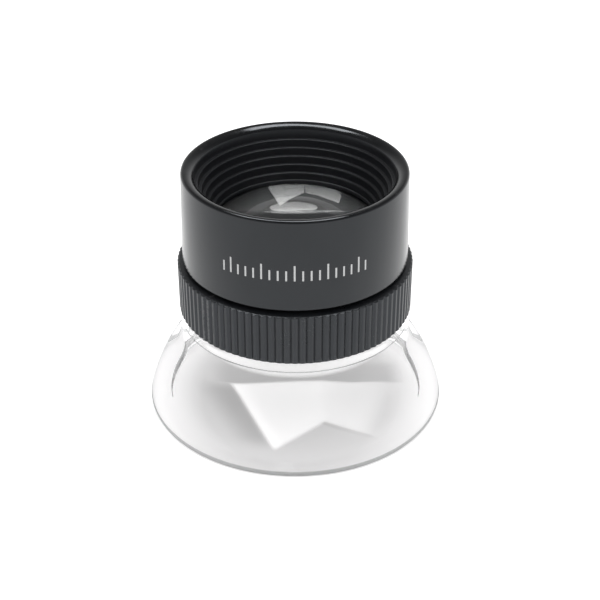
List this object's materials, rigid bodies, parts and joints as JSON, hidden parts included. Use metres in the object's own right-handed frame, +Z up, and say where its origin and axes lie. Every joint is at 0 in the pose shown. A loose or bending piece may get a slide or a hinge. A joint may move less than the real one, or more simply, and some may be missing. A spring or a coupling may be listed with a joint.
{
  "type": "viewing loupe",
  "caption": "Stand loupe: black eyepiece with stepped eyecup, knurled focusing ring that raises it on a screw thread, and a clear flared acrylic skirt.",
  "frame": {"origin": "centre of the foot's underside, on the surface the loupe stands on, on the optical axis", "axes": "+Z up along the optical axis towards the eye; +Y away from the viewer who reads the front of the barrel; the two guide pins lie along X"},
  "size_m": [0.044, 0.044, 0.037],
  "materials": {
    "clear_acrylic": "clear moulded acrylic, polished",
    "black_shell": "black, satin gloss",
    "black_ring": "black, straight knurled",
    "black_cell": "matt black",
    "crown_glass": "polished optical glass",
    "flint_glass": "polished optical glass",
    "spring_steel": "drawn wire",
    "black_brass": "blackened"
  },
  "bodies": {
    "base": {"clear_skirt": "clear_acrylic", "ring_snap_wire": "spring_steel"},
    "focus_ring": {"focus_ring": "black_ring"},
    "eyepiece": {"eyepiece_barrel": "black_shell", "lens_cell": "black_cell", "guide_pin_left": "spring_steel", "guide_pin_right": "spring_steel", "eye_crown_lens": "crown_glass", "eye_flint_lens": "flint_glass", "lens_spacer": "black_cell", "field_flint_lens": "flint_glass", "field_crown_lens": "crown_glass", "lens_retaining_ring": "black_brass"}
  },
  "joints": [
    {"name": "eyepiece_travel", "type": "slide", "parent": "base", "child": "eyepiece", "axis": [0, 0, 1], "range_m": [-0.00033, 0.003]},
    {"name": "focus_ring_turn", "type": "hinge", "parent": "base", "child": "focus_ring", "pos_m": [0, 0, 0.019], "axis": [0, 0, -1], "range_deg": [-60.2, 540.2]}
  ],
  "couplings": [
    {"joint": "focus_ring_turn", "follows": "eyepiece_travel", "rad_per_m": 3141.6}
  ]
}
